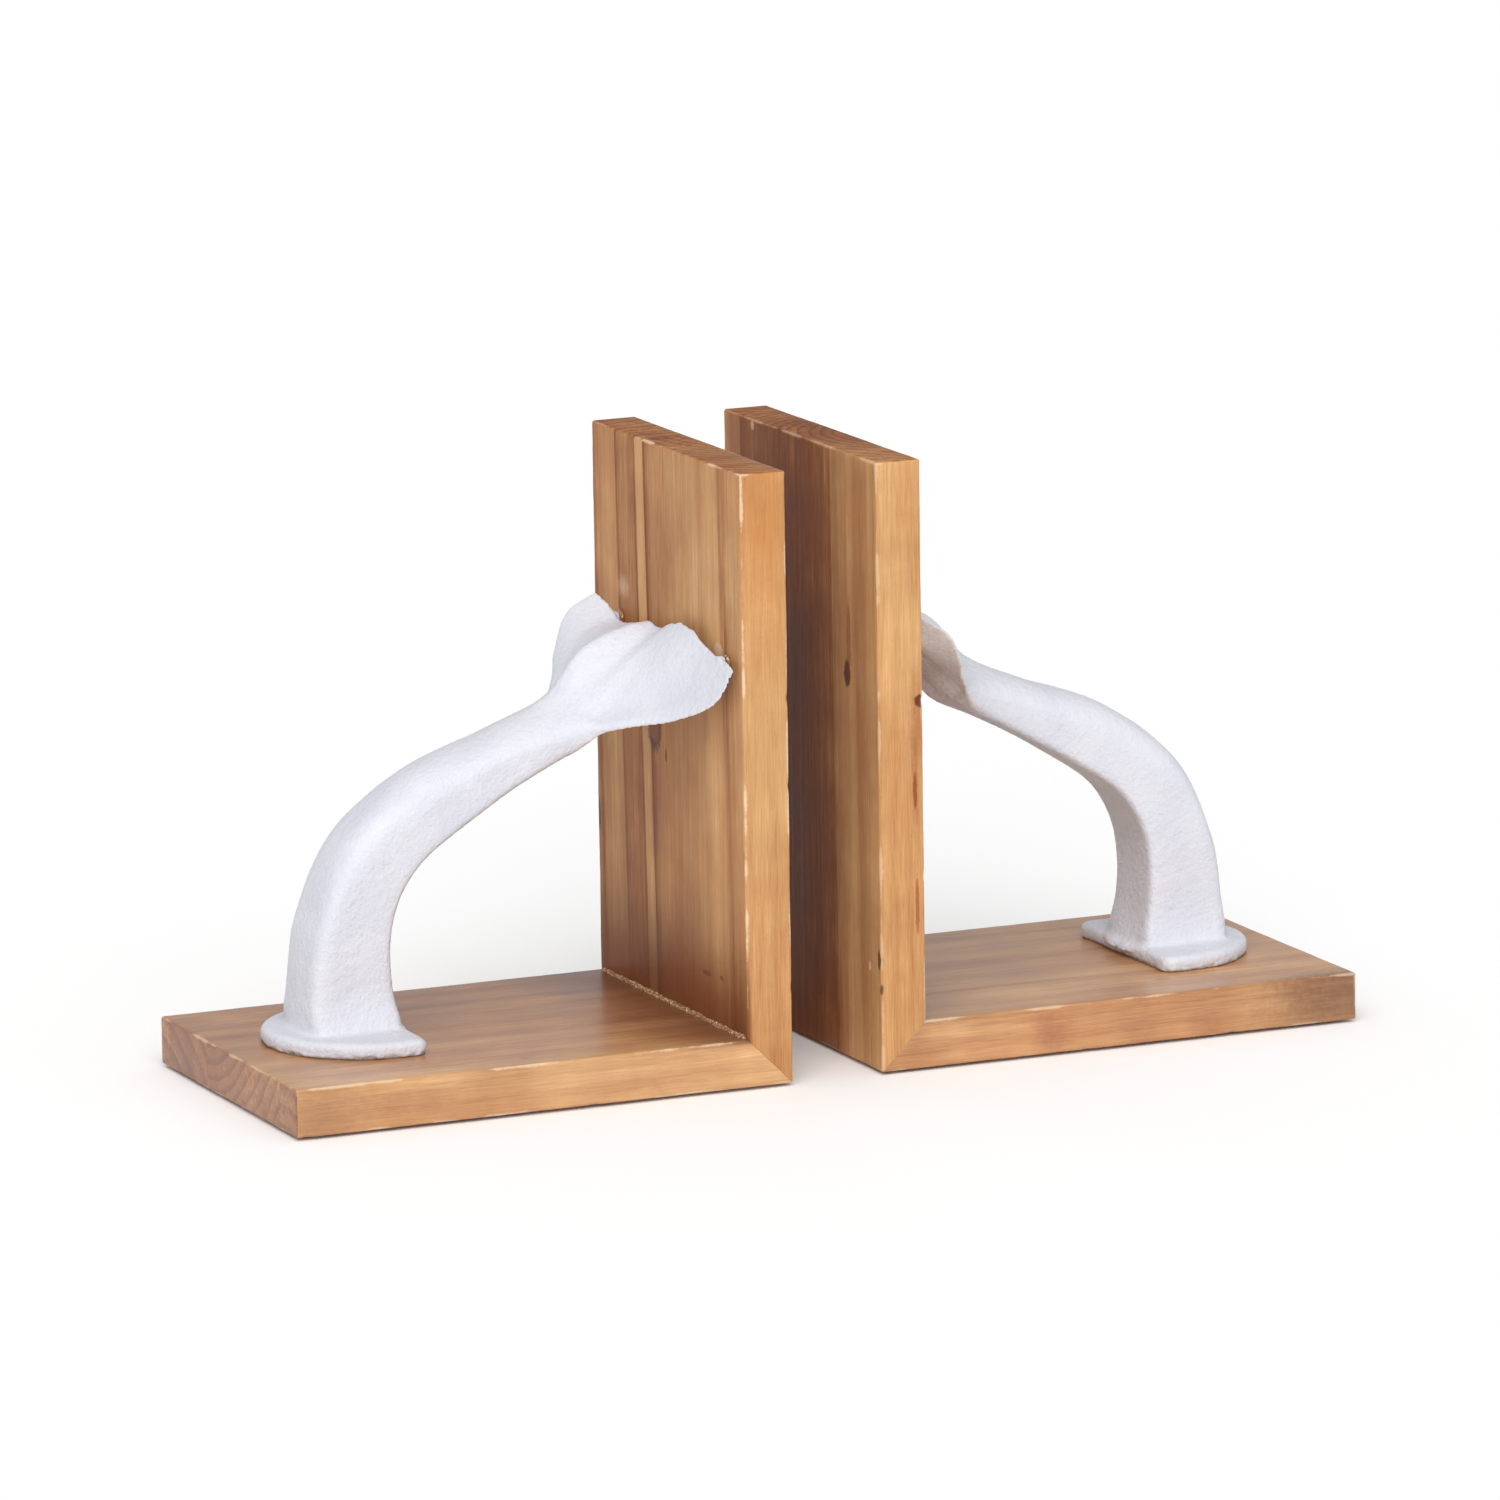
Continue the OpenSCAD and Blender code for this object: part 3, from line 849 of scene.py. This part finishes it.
def stained_pine(side, part, index):
    """Pine with growth rings that run right through the stave, stained, worn pale at its edges."""
    key = f"{side}_{part}"
    upright = part == "upright"
    shade = Finish(f"{key}_pine_{index}")
    x, y, z = shade.split(shade.place)[:3]
    outward = shade.size(x)
    along, through = (z, outward) if upright else (outward, z)
    number = SIDES.index(side) * 6 + (0 if upright else 3) + index
    shift = 37.0 * number

    # grain coordinates: across the board, along the grain and through it, slightly wavy
    lazy = shade.joined(shade.times(along, 0.16), y, through)
    wave = shade.around(shade.mapped(lazy, location=(shift, 0, 0)), 0.02, 5.0, detail=2)
    across = shade.less(y, shade.times(shade.less(along, STRAY_ABOUT), STRAY[key]))

    # growth rings round a heart that lies outside the stave
    heart_y, heart_z = HEARTS[number]
    aside = shade.less(across, heart_y)
    inward = shade.less(through, heart_z)
    radius = shade.math("SQRT", shade.add(shade.times(aside, aside), shade.times(inward, inward)))
    radius = shade.add(radius, wave, shade.around(lazy, 0.09, 0.5, detail=1))
    ring_width = RING_WIDTHS[index] * (1 if upright else BASE_RINGS)
    phase = shade.math("FRACT", shade.math("DIVIDE", radius, ring_width))
    late = shade.times(shade.step(phase, 0.35, 0.93), shade.step(phase, 1.0, 0.93))

    # fibres, drawn out along the grain
    fine = shade.joined(shade.times(along, 0.035), y, through)
    fibre = shade.noise(fine, 2.6, detail=4, roughness=0.65)
    streak = shade.noise(fine, 0.5, detail=3, roughness=0.55)
    short = shade.joined(shade.times(along, 0.25), y, through)
    pores = shade.step(shade.noise(short, 3.2, detail=2), 0.64, 0.72)
    blotch = shade.noise(shade.mapped(shade.place, location=(0, shift, 0)), 0.045, detail=3)

    # broad tones across the board
    edge_places = [(half_d - place) / board_d for place, _ in TONES_AND_SHADE[key]]
    wavy = shade.add(across, shade.times(wave, 0.12))
    share = shade.math("DIVIDE", shade.less(half_d, wavy), board_d)
    tone = shade.ramp(share, [(p, t) for p, (_, t) in zip(edge_places, TONES_AND_SHADE[key])])
    ends = shade.size(shade.split(shade.facing)[2 if upright else 0])
    end_grain = shade.step(ends, 0.6, 0.85)
    evened = shade.times(end_grain, shade.less(END_TONE, tone))
    tone = shade.add(tone, shade.times(evened, 0.7))
    ring_depth = shade.add(0.04, shade.times(end_grain, 0.11))
    streaky = shade.step(blotch, 0.35, 0.65, 0.12, 0.5)
    tone = shade.add(tone, STAVE_TONES[index],
                     shade.times(shade.less(streak, 0.5), streaky),
                     shade.times(shade.less(fibre, 0.5), 0.44),
                     shade.times(shade.less(blotch, 0.5), 0.40),
                     shade.around(lazy, 0.035, 0.22, detail=3),
                     shade.times(late, shade.times(ring_depth, -1)),
                     shade.times(pores, -0.10),
                     0.0 if upright else -0.03)
    colour = shade.ramp(tone, STAIN, interpolation="LINEAR")
    drift = shade.noise(shade.mapped(lazy, location=(0, shift, 9)), 0.06, detail=2)
    warm = shade.times(shade.step(drift, 0.4, 0.7), 0.22)
    colour = shade.mix(warm, colour, shade.mix(1.0, colour, WARM_TINT, blend="MULTIPLY"))

    # a darker pool of stain and painted shade in the inner corner
    if upright:
        corner = shade.add(shade.less(z, board_t + pad_t), shade.around(lazy, 0.05, 9))
        skin = half_gap + board_t
    else:
        corner = shade.add(shade.less(outward, half_gap + board_t), shade.around(lazy, 0.05, 14))
        skin = board_t + pad_t
    inner = shade.times(shade.step(through, skin - 2, skin - 0.5), POOL_AND_SHADE_SHARE[side])
    colour = shade.mix(shade.times(shade.step(corner, 42, 2), inner), colour, POOLED_STAIN_AND_SHADE)

    for paint, strength, centre, radii in MARKS[key]:
        spot = shade.spot(centre, radii, strength < SOFT_BELOW)
        colour = shade.mix(shade.times(spot, strength), colour, paint)

    # pale worn edges: the second smallest distance to the board's faces
    far = half_gap + (board_t if upright else base_l)
    top = pad_t + (board_h if upright else board_t)
    from_x = shade.math("MINIMUM", shade.size(shade.less(outward, half_gap)),
                        shade.size(shade.less(outward, far)))
    from_y = shade.less(half_d, shade.size(y))
    from_z = shade.math("MINIMUM", shade.size(shade.less(z, pad_t)), shade.size(shade.less(z, top)))
    small = shade.math("MINIMUM", from_x, from_y)
    large = shade.math("MAXIMUM", from_x, from_y)
    edge = shade.math("MAXIMUM", small, shade.math("MINIMUM", large, from_z))
    wide = shade.noise(shade.mapped(shade.place, location=(shift, 0, 0)), 0.06, detail=2)
    fleck = shade.noise(shade.place, 0.9, detail=4, roughness=0.7)
    reach = shade.add(shade.step(wide, 0.32, 0.66, -0.75, 0.7), shade.times(fleck, 0.9))
    rubbed = shade.step(shade.less(edge, reach), 0.0, -0.7)
    colour = shade.mix(shade.times(rubbed, WORN_SHARE[key]), colour, WORN_WOOD)

    height = shade.add(shade.times(fibre, 0.7), shade.times(late, 0.5), shade.times(pores, -0.6),
                       shade.times(rubbed, -0.5))
    shade.bump(height, distance=0.00006)
    roughness = shade.add(0.40, shade.times(shade.less(blotch, 0.5), 0.2),
                          shade.times(rubbed, 0.25), shade.times(end_grain, 0.10),
                          shade.times(late, -0.05))
    if upright:
        return shade.finish(colour, roughness, {"Specular IOR Level": 0.06})
    return shade.finish(colour, roughness, {"Coat Weight": 0.4, "Coat Roughness": 0.22})


# -------------------- other finishes

PAINT_LIGHT = srgb(212, 213, 221)
PAINT_SHADE = srgb(206, 207, 216)
# painted shade for faces that look down, and painted light for the undersides of the flukes
UNDERSIDE_PAINTED_SHADE_DARK = srgb(200, 197, 196)
UNDERSIDE_PAINTED_SHADE_PALE = srgb(224, 223, 224)
FLUKE_PAINTED_LIGHT_DIM = srgb(226, 220, 216)
FLUKE_PAINTED_LIGHT_BRIGHT = srgb(246, 243, 242)
# grime with painted contact shade, for the foot of the casting
GRIME_AND_CONTACT_SHADE = srgb(120, 96, 82)
SPECK = srgb(170, 164, 160)
GLUE_STOPS = ((0.36, srgb(104, 64, 38)), (0.50, srgb(160, 112, 74)), (0.62, srgb(214, 182, 140)),
              (0.72, srgb(240, 224, 198)))
FELT_COLOURS = (srgb(34, 28, 24), srgb(74, 64, 56))
ZINC_COLOURS = (srgb(176, 176, 180), srgb(208, 206, 200))
BEECH_COLOURS = (srgb(206, 170, 124), srgb(228, 200, 158))


def white_casting():
    """Satin white paint over a slightly pebbled casting; painted shade where it faces down, painted light
    under the flukes, grime and painted shade at its foot.
    """
    shade = Finish("painted_casting")
    x, _, z = shade.split(shade.place)[:3]
    up = shade.split(shade.facing)[2]
    near_flukes = shade.step(shade.size(x), 76, 60)
    cloud = shade.noise(shade.place, 0.06, detail=3)
    grit = shade.noise(shade.place, 0.85, detail=4, roughness=0.62)
    crust = shade.noise(shade.place, 0.42, detail=3, roughness=0.6)
    colour = shade.mix(shade.step(cloud, 0.35, 0.7), PAINT_LIGHT, PAINT_SHADE)
    # painted shade on faces that look down, lifted by painted light under the flukes
    under = shade.step(shade.add(up, shade.around(shade.place, 0.3, 0.15)), -0.12, -0.65)
    underside_light_and_shade_share = shade.times(under, shade.add(0.25, shade.times(near_flukes, 0.6)))
    underside_shade_and_light = shade.mix(shade.step(grit, 0.4, 0.65), UNDERSIDE_PAINTED_SHADE_DARK, UNDERSIDE_PAINTED_SHADE_PALE)
    fluke_underside_painted_light = shade.mix(shade.step(grit, 0.4, 0.65), FLUKE_PAINTED_LIGHT_DIM, FLUKE_PAINTED_LIGHT_BRIGHT)
    underside_shade_and_light = shade.mix(near_flukes, underside_shade_and_light, fluke_underside_painted_light)
    colour = shade.mix(underside_light_and_shade_share, colour, underside_shade_and_light)
    # grime and painted contact shade along the lowest millimetre of the casting, where it meets the base
    edge_z = shade.add(z, shade.around(shade.place, 0.35, 0.8))
    grime_and_contact_shade = shade.times(shade.step(edge_z, board_t + pad_t + 1.2, board_t + pad_t + 0.2), 0.6)
    colour = shade.mix(grime_and_contact_shade, colour, GRIME_AND_CONTACT_SHADE)
    speck = shade.step(shade.noise(shade.place, 1.9, detail=1), 0.76, 0.80)
    colour = shade.mix(shade.times(speck, 0.35), colour, SPECK)
    height = shade.add(shade.times(grit, 0.6), shade.times(crust, 0.9))
    shade.bump(height, distance=0.00055, strength=0.9)
    roughness = shade.add(0.36, shade.times(grit, 0.16), shade.times(underside_light_and_shade_share, 0.3))
    return shade.finish(colour, roughness, {"Specular IOR Level": 0.4})


def dried_glue():
    shade = Finish("dried_glue_and_dust")
    grains = shade.noise(shade.place, 1.2, detail=3, roughness=0.7)
    colour = shade.ramp(grains, GLUE_STOPS)
    shade.bump(grains, distance=0.0003)
    return shade.finish(colour, shade.step(grains, 0.3, 0.7, 0.45, 0.8))


def dark_felt():
    shade = Finish("pressed_felt")
    hairs = shade.noise(shade.mapped(shade.place, scale=(1, 1, 3)), 3.5, detail=5, roughness=0.75,
                        distortion=1.5)
    colour = shade.mix(hairs, *FELT_COLOURS)
    shade.bump(hairs, distance=0.0002)
    return shade.finish(colour, 0.95, {"Sheen Weight": 0.4})


def plated_steel():
    shade = Finish("zinc_plated_steel")
    smear = shade.noise(shade.place, 0.5, detail=4)
    turned = shade.noise(shade.mapped(shade.place, scale=(1, 1, 9)), 1.6, detail=2)
    colour = shade.mix(smear, *ZINC_COLOURS)
    shade.bump(turned, distance=0.00004)
    return shade.finish(colour, shade.step(smear, 0.3, 0.7, 0.24, 0.42), {"Metallic": 1.0})


def plain_beech():
    shade = Finish("plain_beech")
    slanted = shade.mapped(shade.place, rotation=(0, math.radians(45), 0), scale=(1, 1, 0.1))
    flecks = shade.noise(slanted, 2.0, detail=3)
    colour = shade.mix(flecks, *BEECH_COLOURS)
    shade.bump(flecks, distance=0.00005)
    return shade.finish(colour, shade.step(flecks, 0.3, 0.7, 0.55, 0.7))


# -------------------- put together

PAINT = white_casting()
GLUE = dried_glue()
FELT = dark_felt()
STEEL = plated_steel()
BEECH = plain_beech()


def settle(piece, side, node, material):
    """Gives a piece its finish and body, and lets it stand for its CAD node."""
    piece.data.materials.clear()
    piece.data.materials.append(material)
    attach(piece, f"{side}_bookend")
    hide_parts(node)


def repaint(node, material):
    """A CAD node that stays, in a better finish."""
    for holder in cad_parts[node].material_slots:
        holder.material = material


def boards(side):
    """The six staves of a book end."""
    for part, length in (("upright", board_h), ("base", base_l)):
        upright = part == "upright"
        board = eased_board(length, f"{side}_{part}", upright)
        if upright:
            quarter_turn = Matrix.Rotation(math.radians(-90), 4, "Y")
            bmesh.ops.transform(board, matrix=Matrix.Translation((board_t, 0, 0)) @ quarter_turn,
                                verts=board.verts)
        for index, place in enumerate(("front", "middle", "back")):
            bm = stave(board, side, index, upright)
            piece = finished(bm, f"{side}_{part}_{place}", side)
            smooth_shaded(piece)
            settle(piece, side, f"{side}_{part}_{place}_stave",
                   stained_pine(side, part, index))
        board.free()


for side in SIDES:
    boards(side)
    settle(cast_tail(side), side, f"{side}_whale_tail", PAINT)
    settle(glue_bead(side), side, f"{side}_corner_glue_bead", GLUE)
    settle(glue_dabs(side), side, f"{side}_fluke_glue_dabs", GLUE)
    settle(felt_pads(side), side, f"{side}_felt_pads", FELT)
    repaint(f"{side}_foot_screws", STEEL)
    repaint(f"{side}_mitre_dowels", BEECH)


# -------------------- floor, light and camera

NEARLY_WHITE = srgb(253, 253, 253)
FLOOR_REACH = 6        # metres from the middle to each side
SKY_LEVEL = 0.56
SUN_SPREAD = 50        # degrees
# Each sun: name, the way to it from the book ends, and its level
SUNS = (("key", (-0.26, -0.58, 0.77), 0.53),
        ("fill", (-0.36, -0.90, 0.24), 0.30))
VIEW_FROM = (-23.645, 11.182, -0.835)    # degrees round, up and rolled
VIEW_DISTANCE = 3.2078
AIM_X = -0.02792
AIM_Z = 0.10607
SENSOR = 36
LENS = 253.58


def plain_floor():
    """A wide, flat and nearly white floor."""
    bm = bmesh.new()
    bmesh.ops.create_grid(bm, x_segments=8, y_segments=8, size=FLOOR_REACH)
    floor = as_object(bm, "floor")
    floor.data.materials.append(Finish("pale_floor").finish(NEARLY_WHITE, 0.9))


def sky(strength):
    """Even white light from all around."""
    world = bpy.data.worlds.new("studio")
    world.use_nodes = True
    world.node_tree.nodes["Background"].inputs["Color"].default_value = (1, 1, 1, 1)
    world.node_tree.nodes["Background"].inputs["Strength"].default_value = strength
    bpy.context.scene.world = world


def wide_sun(name, towards, white_level):
    """Even, soft light over everything. The level is what it adds to a white surface facing it."""
    light = bpy.data.lights.new(name, "SUN")
    light.angle = math.radians(SUN_SPREAD)
    light.energy = math.pi * white_level
    lamp = bpy.data.objects.new(name, light)
    bpy.context.scene.collection.objects.link(lamp)
    lamp.rotation_euler = (-Vector(towards)).to_track_quat("-Z", "Y").to_euler()


def camera():
    """Looks at the pair from the left and a little above, from far away."""
    azimuth, elevation, roll = (math.radians(angle) for angle in VIEW_FROM)
    target = Vector((AIM_X, -half_d * MM, AIM_Z))
    back = Vector((math.sin(azimuth) * math.cos(elevation), -math.cos(azimuth) * math.cos(elevation),
                   math.sin(elevation)))
    level = Vector((0, 0, 1)).cross(back).normalized()
    up = back.cross(level)
    right = math.cos(roll) * level + math.sin(roll) * up
    over = math.cos(roll) * up - math.sin(roll) * level
    lens = bpy.data.cameras.new("camera")
    lens.sensor_width = SENSOR
    lens.lens = LENS
    eye = bpy.data.objects.new("camera", lens)
    bpy.context.scene.collection.objects.link(eye)
    turn = Matrix((right, over, back)).transposed().to_4x4()
    eye.matrix_world = Matrix.Translation(target + back * VIEW_DISTANCE) @ turn
    bpy.context.scene.camera = eye


plain_floor()
sky(SKY_LEVEL)
for sun_name, towards, level in SUNS:
    wide_sun(sun_name, towards, level)
camera()
bpy.context.scene.view_settings.view_transform = "Standard"
